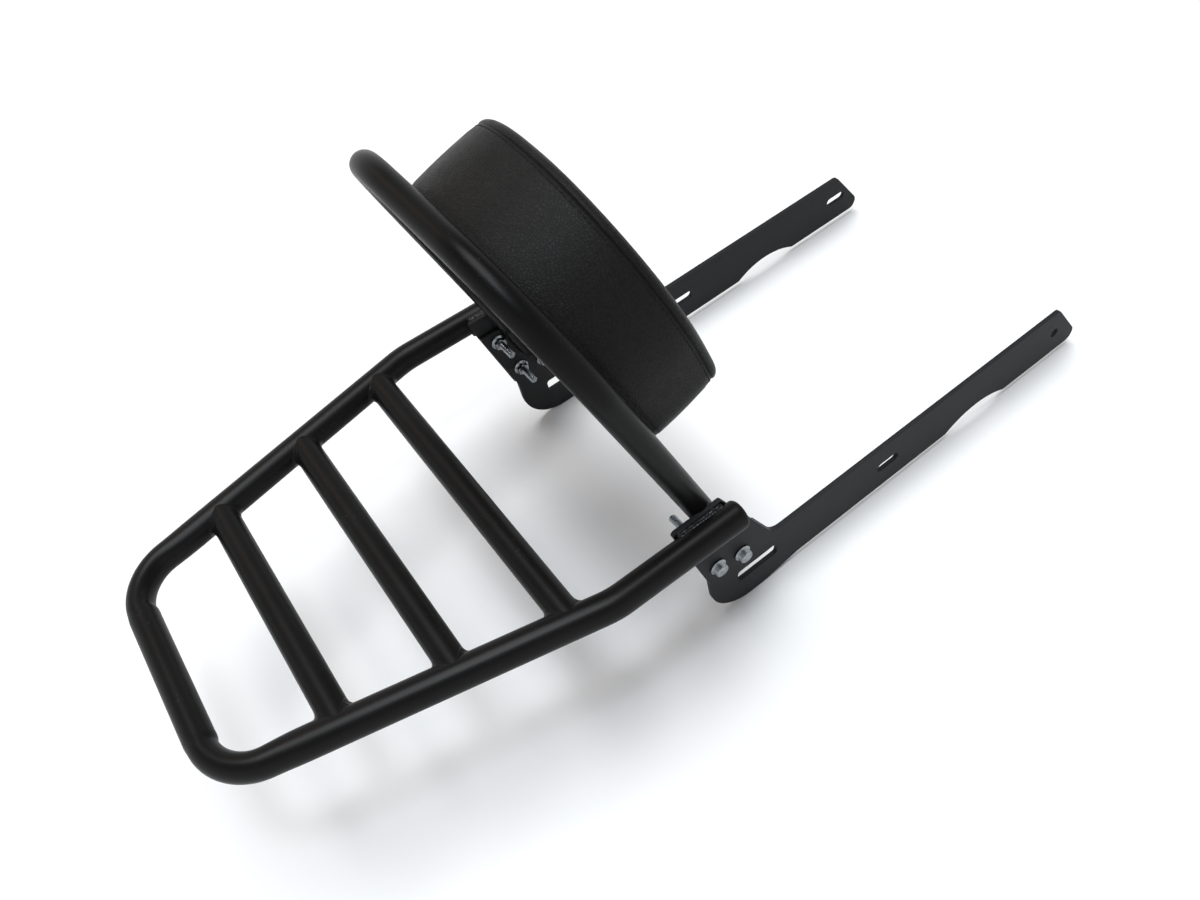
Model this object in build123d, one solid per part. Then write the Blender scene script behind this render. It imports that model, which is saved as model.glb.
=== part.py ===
"""Tube luggage rack with a padded backrest hoop, on two bolted arm plates.

Millimetres. X runs to the bike's right, Y forwards along the arms, Z up. The origin lies on
the plane of symmetry, on the common axis of the two middle slots of the arms.
"""
import os
from math import cos, radians, sin, tan

from build123d import *

# Tubes and plates
RAIL_OD = 22.0
BAR_OD = 21.6
HOOP_OD = 18.0
TUBE_WALL = 1.5
PLATE = 4.0
WELD_FLAT = 0.5           # depth of the flat dressed on a tube where it is welded to a plate

# Arms
ARM_GAP = 271.0           # between the inner faces of the two arms
ARM_HEIGHT = 51.0
ARM_LEAD = 207.0          # from the middle slot to the fixing at the tip
ARM_TIP = 237.0           # lower corner of the slanted end
TIP_SLANT = 28.0          # how far the end slopes back from bottom to top
SLOT_LENGTH = 24.0
SLOT_WIDTH = 9.0
TIP_HOLE = 9.0
SCALLOP_AT = 107.0
SCALLOP_LENGTH = 73.0
SCALLOP_DEPTH = 10.0
SCALLOP_EASE = 5.0        # radius at the ends of the scallop
WINDOW = (40.0, 12.5)
WINDOW_AT = (-143.0, 1.0)
LOBE_DROP = 6.0           # lobe below the arm's lower edge
LOBE_RADIUS = 37.0
LOBE_RUN = 52.0           # along the lobe's foot
LOBE_BLEND = 34.0         # from the lobe's foot back up to the arm's lower edge
ARM_REAR = -189.5
EAR_EDGE = 5.0            # plate above the upper nut
EAR_STEP_CLEAR = 2.0      # under the foot of the hoop leg
TIP_CORNERS = (6.0, 9.0)
CROTCH_RADIUS = 14.0
SLOPE_RADIUS = 30.0       # where the lower edge runs into the lobe
PLATE_CORNER = 3.0

# Rack, in its own plane
RACK_HEIGHT = 102.6       # tube axis above the slots, measured at the origin
RACK_TILT = 1.7           # degrees, rising to the rear
REAR_Y = -532.0
REAR_HALF = 92.0          # where the side rail and the rear run would meet
TAPER = 13.4              # degrees
BAR_PITCH = 77.0
REAR_BEND = 40.0
SIDE_BEND = 70.0
RAIL_FRONT = -168.0
CAP_DOME = 4.0

# Brackets
BRACKET_TOP_REAR = -213.0
BRACKET_TOP_FRONT = -169.0
BRACKET_FOOT_REAR = -190.5
BRACKET_FOOT_FRONT = -124.5
BRACKET_FOOT = 26.0
BRACKET_LOW = 1.0         # top edge below the top of the rail

# Backrest hoop, in its own leaning plane
HOOP_Y = -185.0           # leg axis at the bracket's top edge
LEAN = 17.0               # degrees back from upright
HOOP_RISE = 243.0
HOOP_BEND = 92.0
LEG_DROP = 57.0
STRAP = (22.0, 4.0)
STRAP_RISE = (84.0, 152.0)
STRAP_BACK = 2.4          # back face before the leg axis

# Bolts
BOLT_D = 6.0
BOLT_LENGTH = 32.0
BOLT_TIP = 0.8            # chamfer
BOLT_HOLE = 6.6
FLANGE_D = 14.2
FLANGE_EDGE = 1.2
FLANGE_SLOPE = 25.0       # degrees
HEX_CHAMFER = 30.0        # degrees
HEX_AF = 10.0
HEAD_HEIGHT = 6.4
NUT_HEIGHT = 6.0
THREAD_CLEAR = 0.1
LOWER_REAR = (-182.0, 45.0)
LOWER_FRONT = (-159.0, 39.0)
UPPER_DROP = 31.1         # upper bolt below the bracket's top edge
NUT_CLEAR = 1.2           # nut flange to hoop leg
EAR_CLEAR = 0.6           # arm plate to hoop leg

# Pad
PAD_FOOT = 58.0
PAD_HEIGHT = 164.0
PAD_TOP_RADIUS = 108.0
PAD_TOP_FLAT = 24.0       # straight run between the top corners
PAD_FOOT_RADIUS = 26.0
PAD_DEPTH = 78.6          # at the middle of the crown
CROWN = 8.5               # fall of the crown from the middle to the sides
PAD_EDGE = 7.0            # radius round the front
COVER = 1.2
BOARD = 9.0
SCREW_X = 84.0
SCREW_LENGTH = 16.0
SCREW_HEAD = (10.5, 3.3)
SCREW_SOCKET = (4.0, 1.8)
TEE_FLANGE = (18.0, 1.5)
TEE_BARREL = (8.0, 8.0)
TEE_CLEAR = 0.2
POCKET_CLEAR = 1.5        # foam past the screw end

# Places worked out from the values above
ARM_IN = ARM_GAP / 2
BRACKET_IN = ARM_IN + PLATE
BRACKET_OUT = BRACKET_IN + PLATE
RAIL_X = BRACKET_OUT + RAIL_OD / 2 - WELD_FLAT
LEG_X = BRACKET_IN - HOOP_OD / 2 + WELD_FLAT
BEND_Y = REAR_Y + (RAIL_X - REAR_HALF) / tan(radians(TAPER))
RACK_AT = Location((0, 0, RACK_HEIGHT), (-RACK_TILT, 0, 0))
BRACKET_TOP = RACK_HEIGHT - HOOP_Y * tan(radians(RACK_TILT)) + RAIL_OD / 2 - BRACKET_LOW
UPPER_RISE = BRACKET_TOP - UPPER_DROP
HOOP_PLANE = Plane(
    origin=(0, HOOP_Y, BRACKET_TOP),
    x_dir=(-1, 0, 0),
    z_dir=(0, cos(radians(LEAN)), sin(radians(LEAN))),
)
HOOP_AT = Location(HOOP_PLANE)
PAD_BACK = STRAP_BACK + STRAP[1]
PAD_WIDTH = 2 * PAD_TOP_RADIUS + PAD_TOP_FLAT
RIGHT, LEFT = 1, -1


def leg_y(z):
    """Leg axis in the side view."""
    return HOOP_Y + (BRACKET_TOP - z) * tan(radians(LEAN))


def beside_leg(z, distance):
    """Point behind the leg axis in the side view, at a square distance from it."""
    return leg_y(z) - distance / cos(radians(LEAN)), z


UPPER_REAR = beside_leg(UPPER_RISE, HOOP_OD / 2 + FLANGE_D / 2 + NUT_CLEAR)
BOLT_PLACES = (UPPER_REAR, LOWER_REAR, LOWER_FRONT)


def rounded(corners):
    """Face inside a polygon of (x, y, corner radius)."""
    face = make_face(Polyline(*[(x, y) for x, y, _ in corners], close=True))
    for x, y, radius in corners:
        if radius:
            corner = face.vertices().sort_by_distance((x, y, 0))[0]
            face = fillet(corner, radius)
    return face


def plate(face, side, inner):
    """Side plate: a face drawn in (Y, Z), with its inner face at the given distance."""
    start = inner if side == RIGHT else -inner - PLATE
    return Pos(start, 0, 0) * extrude(Plane.YZ * face, PLATE, dir=(1, 0, 0))


def tube(path, diameter):
    """Round tube along a path, and the solid that it fills."""
    end = Plane(origin=path @ 0, z_dir=path % 0)
    bore = diameter - 2 * TUBE_WALL
    solid = sweep(end * Circle(diameter / 2), path=path)
    return solid - sweep(end * Circle(bore / 2), path=path), solid


# Side plates

def bracket_face():
    outline = rounded([
        (BRACKET_TOP_REAR, BRACKET_TOP, PLATE_CORNER),
        (BRACKET_TOP_FRONT, BRACKET_TOP, PLATE_CORNER),
        (BRACKET_FOOT_FRONT, BRACKET_FOOT, PLATE_CORNER),
        (BRACKET_FOOT_REAR, BRACKET_FOOT, PLATE_CORNER),
    ])
    return outline - bolt_holes()


def bolt_holes():
    return [Pos(y, z) * Circle(BOLT_HOLE / 2) for y, z in BOLT_PLACES]


def edge_y(top, foot, z):
    """Straight edge of the bracket at a height."""
    return foot + (top - foot) * (z - BRACKET_FOOT) / (BRACKET_TOP - BRACKET_FOOT)


def arm_face(side):
    half = ARM_HEIGHT / 2
    lobe_foot = -half - LOBE_DROP
    ear_top = UPPER_RISE + FLANGE_D / 2 + EAR_EDGE
    leg_foot = BRACKET_TOP - LEG_DROP * cos(radians(LEAN)) - HOOP_OD / 2 * sin(radians(LEAN))
    ear_step = leg_foot - EAR_STEP_CLEAR
    offset = HOOP_OD / 2 + EAR_CLEAR
    finger_top = beside_leg(ear_top, offset)
    finger_foot = beside_leg(ear_step, offset)
    outline = rounded([
        (ARM_TIP - TIP_SLANT, half, TIP_CORNERS[0]),
        (ARM_TIP, -half, TIP_CORNERS[1]),
        (ARM_REAR + LOBE_RUN + LOBE_BLEND, -half, SLOPE_RADIUS),
        (ARM_REAR + LOBE_RUN, lobe_foot, SLOPE_RADIUS),
        (ARM_REAR, lobe_foot, LOBE_RADIUS),
        (ARM_REAR, BRACKET_FOOT, CROTCH_RADIUS),
        (edge_y(BRACKET_TOP_REAR, BRACKET_FOOT_REAR, ear_top), ear_top, PLATE_CORNER),
        (*finger_top, PLATE_CORNER),
        (*finger_foot, PLATE_CORNER),
        (edge_y(BRACKET_TOP_FRONT, BRACKET_FOOT_FRONT, ear_step), ear_step, PLATE_CORNER),
        (edge_y(BRACKET_TOP_FRONT, BRACKET_FOOT_FRONT, half), half, CROTCH_RADIUS),
    ])
    radius = (SCALLOP_LENGTH ** 2 / 4 + SCALLOP_DEPTH ** 2) / (2 * SCALLOP_DEPTH)
    outline -= Pos(SCALLOP_AT, SCALLOP_DEPTH - half - radius) * Circle(radius)
    ends = [(SCALLOP_AT + end * SCALLOP_LENGTH / 2, -half, 0) for end in (LEFT, RIGHT)]
    for end in ends:
        outline = fillet(outline.vertices().sort_by_distance(end)[0], SCALLOP_EASE)
    slot = SlotOverall(SLOT_LENGTH, SLOT_WIDTH)
    outline -= slot
    outline -= Pos(ARM_LEAD, 0) * (Circle(TIP_HOLE / 2) if side == RIGHT else slot)
    outline -= Pos(*WINDOW_AT) * RectangleRounded(*WINDOW, PLATE_CORNER)
    return outline - bolt_holes()


# Rack

def rail_path():
    right = [(RAIL_X, RAIL_FRONT), (RAIL_X, BEND_Y), (REAR_HALF, REAR_Y)]
    left = [(-x, y) for x, y in reversed(right)]
    return FilletPolyline(*right, *left, radius=(SIDE_BEND, REAR_BEND, REAR_BEND, SIDE_BEND))


def crossbar(number, rail_solid):
    y = REAR_Y + number * BAR_PITCH
    half = min(RAIL_X, REAR_HALF + (y - REAR_Y) * tan(radians(TAPER)))
    ring = Circle(BAR_OD / 2) - Circle(BAR_OD / 2 - TUBE_WALL)
    return extrude(Plane.YZ.offset(-half) * Pos(y, 0) * ring, 2 * half) - rail_solid


def end_cap():
    """Domed cap that closes the tube end, its flat face at Z = 0."""
    radius = RAIL_OD / 2
    sphere = (radius ** 2 + CAP_DOME ** 2) / (2 * CAP_DOME)
    ball = Pos(0, 0, CAP_DOME - sphere) * Sphere(sphere)
    return ball & Pos(0, 0, CAP_DOME / 2) * Box(RAIL_OD, RAIL_OD, CAP_DOME)


# Backrest

def hoop_path():
    right = [(LEG_X, -LEG_DROP), (LEG_X, HOOP_RISE)]
    left = [(-x, y) for x, y in reversed(right)]
    return FilletPolyline(*right, *left, radius=HOOP_BEND)


def strap(rise, hoop_solid):
    """Flat bar between the legs, coped to them."""
    face = Rectangle(2 * LEG_X, STRAP[0])
    face -= [Pos(x, 0) * Circle(BOLT_HOLE / 2) for x in (-SCREW_X, SCREW_X)]
    return Pos(0, rise, STRAP_BACK) * extrude(face, STRAP[1]) - hoop_solid


def pad_outline(inset):
    half = PAD_WIDTH / 2 - inset
    foot = PAD_FOOT + inset
    top = PAD_FOOT + PAD_HEIGHT - inset
    return rounded([
        (-half, foot, PAD_FOOT_RADIUS - inset),
        (half, foot, PAD_FOOT_RADIUS - inset),
        (half, top, PAD_TOP_RADIUS - inset),
        (-half, top, PAD_TOP_RADIUS - inset),
    ])


def pad_body(inset):
    """Pad from its flat back to the crowned front, taken in by a skin."""
    radius = (PAD_WIDTH ** 2 / 4 + CROWN ** 2) / (2 * CROWN)
    crown = Pos(0, PAD_FOOT + PAD_HEIGHT / 2, PAD_DEPTH - radius) * Sphere(radius - inset)
    body = extrude(pad_outline(inset), PAD_DEPTH) & crown
    front = body.faces().filter_by(GeomType.SPHERE)[0]
    return Pos(0, 0, PAD_BACK) * fillet(front.edges(), PAD_EDGE - inset)


def pad_fixings(shape):
    return [Pos(x, rise, 0) * shape for rise in STRAP_RISE for x in (-SCREW_X, SCREW_X)]


# Fasteners

def hexagon(height):
    """Hexagon with its upper corners turned off."""
    prism = extrude(RegularPolygon(HEX_AF / 2, 6, major_radius=False), height)
    corner = HEX_AF / 2 / cos(radians(30))
    chamfer = corner - HEX_AF / 2
    return prism & Pos(0, 0, height / 2) * chamfered_disc(corner, height, chamfer)


def chamfered_disc(radius, height, size):
    disc = Cylinder(radius, height)
    return chamfer(disc.edges().sort_by(Axis.Z)[-1], size * tan(radians(HEX_CHAMFER)), size)


def flange():
    slope = (FLANGE_D - HEX_AF) / 2 * tan(radians(FLANGE_SLOPE))
    rim = Pos(0, 0, FLANGE_EDGE / 2) * Cylinder(FLANGE_D / 2, FLANGE_EDGE)
    cone = Pos(0, 0, FLANGE_EDGE + slope / 2) * Cone(FLANGE_D / 2, HEX_AF / 2, slope)
    return rim + cone


def flange_bolt():
    """Flange bolt with its bearing face at Z = 0 and its head above."""
    shank = chamfer(Cylinder(BOLT_D / 2, BOLT_LENGTH).edges().sort_by(Axis.Z)[0], BOLT_TIP)
    return flange() + hexagon(HEAD_HEIGHT) + Pos(0, 0, -BOLT_LENGTH / 2) * shank


def flange_nut():
    bore = Cylinder(BOLT_D / 2 + THREAD_CLEAR, 3 * NUT_HEIGHT)
    return flange() + hexagon(NUT_HEIGHT) - bore


def pad_screw():
    """Button head screw, its bearing face at Z = 0 and its shank above."""
    width, height = SCREW_HEAD
    sphere = (width ** 2 / 4 + height ** 2) / (2 * height)
    ball = Pos(0, 0, sphere - height) * Sphere(sphere)
    head = ball & Pos(0, 0, -height / 2) * Box(width, width, height)
    key = extrude(RegularPolygon(SCREW_SOCKET[0] / 2, 6, major_radius=False), SCREW_SOCKET[1])
    shank = Pos(0, 0, SCREW_LENGTH / 2) * Cylinder(BOLT_D / 2, SCREW_LENGTH)
    return head - Pos(0, 0, -height) * key + shank


def tee_nut():
    """Tee nut, its flange at Z = 0 to the front and its barrel behind."""
    flange_d, flange_t = TEE_FLANGE
    barrel_d, barrel_l = TEE_BARREL
    disc = Pos(0, 0, flange_t / 2) * Cylinder(flange_d / 2, flange_t)
    barrel = Pos(0, 0, -barrel_l / 2) * Cylinder(barrel_d / 2, barrel_l)
    return disc + barrel - Cylinder(BOLT_D / 2 + THREAD_CLEAR, 4 * barrel_l)


# Assembly

def side_parts(side):
    """Plates, bolts and nuts of one side."""
    turn = 90 * side
    bolt = Rot(0, turn, 0) * flange_bolt()
    nut = Rot(0, -turn, 0) * flange_nut()
    return {
        "bracket": plate(bracket_face(), side, BRACKET_IN),
        "arm": plate(arm_face(side), side, ARM_IN),
        "flange_bolts": Compound([Pos(side * BRACKET_OUT, y, z) * bolt for y, z in BOLT_PLACES]),
        "flange_nuts": Compound([Pos(side * ARM_IN, y, z) * nut for y, z in BOLT_PLACES]),
    }


def build():
    nodes = {}
    for side, word in ((RIGHT, "right"), (LEFT, "left")):
        for name, solid in side_parts(side).items():
            nodes[f"{name}_{word}"] = solid
    brackets = nodes["bracket_right"] + nodes["bracket_left"]

    rail, rail_solid = tube(rail_path(), RAIL_OD)
    nodes["rack_rail"] = RACK_AT * rail - brackets
    for number, word in enumerate(("rear", "middle", "front"), start=1):
        nodes[f"crossbar_{word}"] = RACK_AT * crossbar(number, rail_solid)
    for side, word in ((RIGHT, "right"), (LEFT, "left")):
        cap = Pos(side * RAIL_X, RAIL_FRONT, 0) * Rot(-90, 0, 0) * end_cap()
        nodes[f"rail_cap_{word}"] = RACK_AT * cap - brackets

    hoop, hoop_solid = tube(hoop_path(), HOOP_OD)
    nodes["backrest_hoop"] = HOOP_AT * hoop - brackets
    for rise, word in zip(STRAP_RISE, ("lower", "upper")):
        nodes[f"pad_strap_{word}"] = HOOP_AT * strap(rise, hoop_solid)

    inside = pad_body(COVER)
    board_front = PAD_BACK + BOARD
    barrel_hole = Cylinder((TEE_BARREL[0] + TEE_CLEAR) / 2, 4 * board_front)
    pocket_depth = SCREW_LENGTH + STRAP_BACK - board_front + POCKET_CLEAR
    pocket = Cylinder((TEE_FLANGE[0] + TEE_CLEAR) / 2, pocket_depth)
    slab = Pos(0, 0, PAD_BACK) * extrude(pad_outline(COVER), BOARD)
    foam = inside - slab - pad_fixings(Pos(0, 0, board_front + pocket_depth / 2) * pocket)
    nodes["pad_cover"] = HOOP_AT * (pad_body(0) - inside)
    nodes["pad_board"] = HOOP_AT * (slab - pad_fixings(barrel_hole))
    nodes["pad_foam"] = HOOP_AT * foam
    screws = pad_fixings(Pos(0, 0, STRAP_BACK) * pad_screw())
    tees = pad_fixings(Pos(0, 0, board_front) * tee_nut())
    nodes["pad_screws"] = Compound([HOOP_AT * screw for screw in screws])
    nodes["pad_tee_nuts"] = Compound([HOOP_AT * tee for tee in tees])
    return nodes


os.makedirs("parts", exist_ok=True)
for node, solid in build().items():
    export_step(solid, f"parts/{node}.step")
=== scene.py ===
"""Sissy bar: welds, threads, upholstered pad, finishes and studio, in metres in the part's frame."""
import math

import bmesh
import bpy
from mathutils import Matrix, Vector, noise


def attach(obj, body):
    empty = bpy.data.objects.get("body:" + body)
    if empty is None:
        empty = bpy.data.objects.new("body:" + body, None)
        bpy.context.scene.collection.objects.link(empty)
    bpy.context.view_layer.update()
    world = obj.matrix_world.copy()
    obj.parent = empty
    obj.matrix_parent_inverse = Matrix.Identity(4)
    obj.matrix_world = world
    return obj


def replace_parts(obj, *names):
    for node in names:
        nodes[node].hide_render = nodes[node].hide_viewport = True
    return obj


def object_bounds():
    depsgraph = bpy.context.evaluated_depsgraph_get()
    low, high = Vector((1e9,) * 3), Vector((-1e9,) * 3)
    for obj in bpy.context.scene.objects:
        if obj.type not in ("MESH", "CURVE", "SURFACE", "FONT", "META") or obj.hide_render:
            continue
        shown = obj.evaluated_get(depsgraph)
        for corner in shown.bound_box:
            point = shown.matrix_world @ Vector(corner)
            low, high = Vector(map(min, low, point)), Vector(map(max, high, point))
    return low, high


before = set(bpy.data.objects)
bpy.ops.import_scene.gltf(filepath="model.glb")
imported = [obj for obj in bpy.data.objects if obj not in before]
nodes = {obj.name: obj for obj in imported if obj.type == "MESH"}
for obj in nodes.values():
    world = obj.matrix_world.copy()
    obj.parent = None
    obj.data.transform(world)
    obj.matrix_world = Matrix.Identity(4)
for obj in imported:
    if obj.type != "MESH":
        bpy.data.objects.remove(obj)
cad_low, cad_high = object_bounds()
MM = 0.001

# Sizes of the rack in millimetres
RAIL_R, RAIL_SKIN, BAR_R = 11.0, 11.25, 10.8       # a skin is drawn a little outside its solid
HOOP_R, HOOP_SKIN, HOOP_RISE, HOOP_BEND, LEG_DROP = 9.0, 10.0, 243.5, 92.0, 57.0
SLIM_END, SLIM_RAMP, HOOP_FORWARD = -22.0, 8.0, 0.9     # slim leg below this rise, and the skin's shift
RAIL_X, RAIL_FRONT, BEND_Y = 154.0, -168.0, -271.75
REAR_HALF, REAR_Y, TAPER, BAR_PITCH = 92.0, -532.0, math.radians(13.4), 77.0
REAR_BEND, SIDE_BEND, CAP_LENGTH, CAP_RIM = 40.0, 70.0, 6.5, 3.5
RACK_HEIGHT, RACK_TILT = 102.6, math.radians(1.7)
BEND_FLAT, RUN_FLAT = 0.845, 0.925      # tube width left in the rear bends and in the rear run
PRESS_LEAD, PRESS_RAMP, PRESS_OVER, PRESS_STEP = 26.0, 40.0, 3.0, 7.0      # how the pressing comes and goes
BRACKET_IN, BRACKET_TOP = 139.5, 118.09
BRACKET_REAR, BRACKET_FRONT = -213.0, -169.0
HOOP_Y, LEAN, LEG_X = -185.0, math.radians(17.0), 131.0
STRAP_RISE, STRAP_HALF, STRAP_BACK = (84.0, 152.0), 11.0, 2.4
RAIL_WELD_X, RAIL_WELD_Z, STRAP_WELD_X = 145.6, 8.2, 122.4
TIP_UPPER, TIP_LOWER = 1.5, 4.5          # how far the corners of the arms' ends are drawn out
BOLTS = ((-193.6, 87.0), (-182.0, 45.0), (-159.0, 39.0))
BOLT_R, THREAD_ROOT, THREAD_PITCH, NUT_FACE, BOLT_END = 3.0, 2.46, 1.0, 129.5, 111.5

# Sizes of the pad in the leaning plane of the hoop
PAD_HALF, PAD_FOOT, PAD_TOP = 120.0, 58.0, 222.0
PAD_TOP_R, PAD_FOOT_R = 108.0, 26.0
PAD_BACK, PAD_SEAM, PAD_FRONT, PAD_ROLL = 6.2, 77.9, 85.0, 7.0
PAD_MIDDLE = Vector((0.0, 140.0))
FULL_MOST, FULL_RANGE, FULL_START, FULL_RUN = 3.0, 5.5, 110.0, 230.0       # uneven stuffing across the pad
SWELL_MOST = 3.0

RACK = Matrix.Translation((0, 0, RACK_HEIGHT)) @ Matrix.Rotation(-RACK_TILT, 4, "X")
HOOP = Matrix((
    (-1, 0, 0, 0),
    (0, -math.sin(LEAN), math.cos(LEAN), HOOP_Y),
    (0, math.cos(LEAN), math.sin(LEAN), BRACKET_TOP),
    (0, 0, 0, 1),
))
SMALL = Matrix.Scale(MM, 4)


# Shader helpers

def new_group(name, inputs, outputs):
    group = bpy.data.node_groups.new(name, "ShaderNodeTree")
    for label, kind, value in inputs:
        group.interface.new_socket(label, in_out="INPUT", socket_type=kind).default_value = value
    for label, kind in outputs:
        group.interface.new_socket(label, in_out="OUTPUT", socket_type=kind)
    return group, group.nodes.new("NodeGroupInput"), group.nodes.new("NodeGroupOutput")


def add(tree, kind, links=None, values=None, **settings):
    node = tree.nodes.new(kind)
    for name, value in settings.items():
        setattr(node, name, value)
    for socket, value in (values or {}).items():
        node.inputs[socket].default_value = value
    for socket, source in (links or {}).items():
        tree.links.new(source, node.inputs[socket])
    return node


def ramp(tree, source, low, high, to_low=0.0, to_high=1.0):
    node = add(tree, "ShaderNodeMapRange", {"Value": source}, {
        "From Min": low, "From Max": high, "To Min": to_low, "To Max": to_high})
    return node.outputs["Result"]


def two_tone(tree, mask, first, second):
    node = tree.nodes.new("ShaderNodeMix")
    node.data_type = "RGBA"
    sockets = [s for s in node.inputs if s.enabled]
    tree.links.new(mask, sockets[0])
    for socket, value in zip(sockets[1:], (first, second)):
        if isinstance(value, tuple):
            socket.default_value = (*value, 1)
        else:
            tree.links.new(value, socket)
    return [s for s in node.outputs if s.enabled][0]


def maths(tree, operation, first, second):
    node = tree.nodes.new("ShaderNodeMath")
    node.operation = operation
    for socket, value in zip(node.inputs, (first, second)):
        if isinstance(value, (int, float)):
            socket.default_value = value
        else:
            tree.links.new(value, socket)
    return node.outputs[0]


def powder_coat_group():
    """Orange peel, soft mottling and settled dust of a powder coat."""
    group, given, result = new_group(
        "Powder coat",
        [("Vector", "NodeSocketVector", (0, 0, 0)), ("Coat", "NodeSocketColor", (0.02, 0.02, 0.02, 1)),
         ("Dust", "NodeSocketColor", (0.2, 0.2, 0.2, 1)), ("Peel", "NodeSocketFloat", 700.0),
         ("Gloss", "NodeSocketFloat", 0.4)],
        [("Color", "NodeSocketColor"), ("Roughness", "NodeSocketFloat"), ("Height", "NodeSocketFloat")])
    place = given.outputs["Vector"]
    peel = add(group, "ShaderNodeTexNoise",
               {"Vector": place, "Scale": given.outputs["Peel"]}, {"Detail": 3.0})
    mottle = add(group, "ShaderNodeTexNoise", {"Vector": place}, {"Scale": 45.0, "Detail": 5.0})
    grit = add(group, "ShaderNodeTexVoronoi", {"Vector": place}, {"Scale": 240.0})
    patch = add(group, "ShaderNodeTexNoise", {"Vector": place}, {"Scale": 22.0, "Detail": 2.0})
    specks = maths(group, "MULTIPLY", ramp(group, grit.outputs["Distance"], 0.16, 0.09),
                   ramp(group, patch.outputs["Fac"], 0.5, 0.68))
    darker = add(group, "ShaderNodeHueSaturation", {"Color": given.outputs["Coat"]}, {"Value": 0.8})
    coat = two_tone(group, ramp(group, mottle.outputs["Fac"], 0.3, 0.7),
                    darker.outputs["Color"], given.outputs["Coat"])
    dusty = two_tone(group, maths(group, "MULTIPLY", specks, 0.2), coat, given.outputs["Dust"])
    gloss = maths(group, "ADD", given.outputs["Gloss"],
                  ramp(group, mottle.outputs["Fac"], 0.3, 0.7, -0.04, 0.05))
    group.links.new(dusty, result.inputs["Color"])
    group.links.new(maths(group, "ADD", gloss, maths(group, "MULTIPLY", specks, 0.3)),
                    result.inputs["Roughness"])
    group.links.new(peel.outputs["Fac"], result.inputs["Height"])
    return group


def leather_group():
    """Pebble grain and fine creases of leatherette."""
    group, given, result = new_group(
        "Leather grain",
        [("Vector", "NodeSocketVector", (0, 0, 0)), ("Skin", "NodeSocketColor", (0.02, 0.02, 0.02, 1)),
         ("Valley", "NodeSocketColor", (0.01, 0.01, 0.01, 1)), ("Grain", "NodeSocketFloat", 480.0)],
        [("Color", "NodeSocketColor"), ("Roughness", "NodeSocketFloat"), ("Height", "NodeSocketFloat")])
    place = given.outputs["Vector"]
    sway = add(group, "ShaderNodeTexNoise", {"Vector": place}, {"Scale": 260.0, "Detail": 3.0})
    bent = add(group, "ShaderNodeVectorMath",
               {0: sway.outputs["Color"]}, {1: (0.0022,) * 3}, operation="MULTIPLY")
    moved = add(group, "ShaderNodeVectorMath", {0: place, 1: bent.outputs[0]}, operation="ADD")
    pebble = add(group, "ShaderNodeTexVoronoi",
                 {"Vector": moved.outputs[0], "Scale": given.outputs["Grain"]}, feature="DISTANCE_TO_EDGE")
    pores = add(group, "ShaderNodeTexNoise", {"Vector": place}, {"Scale": 1500.0, "Detail": 3.0})
    crease = add(group, "ShaderNodeTexNoise", {"Vector": place},
                 {"Scale": 75.0, "Detail": 6.0, "Roughness": 0.62, "Distortion": 0.6})
    cell = ramp(group, pebble.outputs["Distance"], 0.0, 0.22)
    height = maths(group, "ADD", maths(group, "MULTIPLY", cell, 0.55),
                   maths(group, "MULTIPLY", pores.outputs["Fac"], 0.25))
    height = maths(group, "ADD", height, maths(group, "MULTIPLY", crease.outputs["Fac"], 0.9))
    group.links.new(two_tone(group, cell, given.outputs["Valley"], given.outputs["Skin"]),
                    result.inputs["Color"])
    group.links.new(ramp(group, crease.outputs["Fac"], 0.3, 0.7, 0.36, 0.5), result.inputs["Roughness"])
    group.links.new(height, result.inputs["Height"])
    return group


POWDER_COAT = powder_coat_group()
LEATHER_GRAIN = leather_group()


def finish(name):
    material = bpy.data.materials.new(name)
    material.use_nodes = True
    tree = material.node_tree
    place = tree.nodes.new("ShaderNodeTexCoord").outputs["Object"]
    return material, tree, tree.nodes["Principled BSDF"], place


def bump(tree, height, surface, strength, distance):
    node = add(tree, "ShaderNodeBump", {"Height": height}, {"Strength": strength, "Distance": distance})
    tree.links.new(node.outputs["Normal"], surface.inputs["Normal"])


def coat_finish(name, colour, dust, gloss, peel, depth, shine):
    material, tree, surface, place = finish(name)
    surface.inputs["Specular IOR Level"].default_value = 0.03
    surface.inputs["Coat Weight"].default_value = shine
    surface.inputs["Coat Roughness"].default_value = gloss
    group = add(tree, "ShaderNodeGroup", node_tree=POWDER_COAT)
    tree.links.new(place, group.inputs["Vector"])
    group.inputs["Coat"].default_value = (*colour, 1)
    group.inputs["Dust"].default_value = (*dust, 1)
    group.inputs["Gloss"].default_value = gloss
    group.inputs["Peel"].default_value = peel
    tree.links.new(group.outputs["Color"], surface.inputs["Base Color"])
    tree.links.new(group.outputs["Roughness"], surface.inputs["Roughness"])
    bump(tree, group.outputs["Height"], surface, 0.25, depth)
    return material


def zinc_finish():
    material, tree, surface, place = finish("Bright zinc")
    haze = add(tree, "ShaderNodeTexNoise", {"Vector": place}, {"Scale": 320.0, "Detail": 4.0})
    surface.inputs["Metallic"].default_value = 1.0
    cloudy = ramp(tree, haze.outputs["Fac"], 0.35, 0.65)
    tree.links.new(two_tone(tree, cloudy, (0.19, 0.215, 0.245), (0.31, 0.325, 0.325)),
                   surface.inputs["Base Color"])
    tree.links.new(ramp(tree, haze.outputs["Fac"], 0.3, 0.7, 0.2, 0.3), surface.inputs["Roughness"])
    return material


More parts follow.
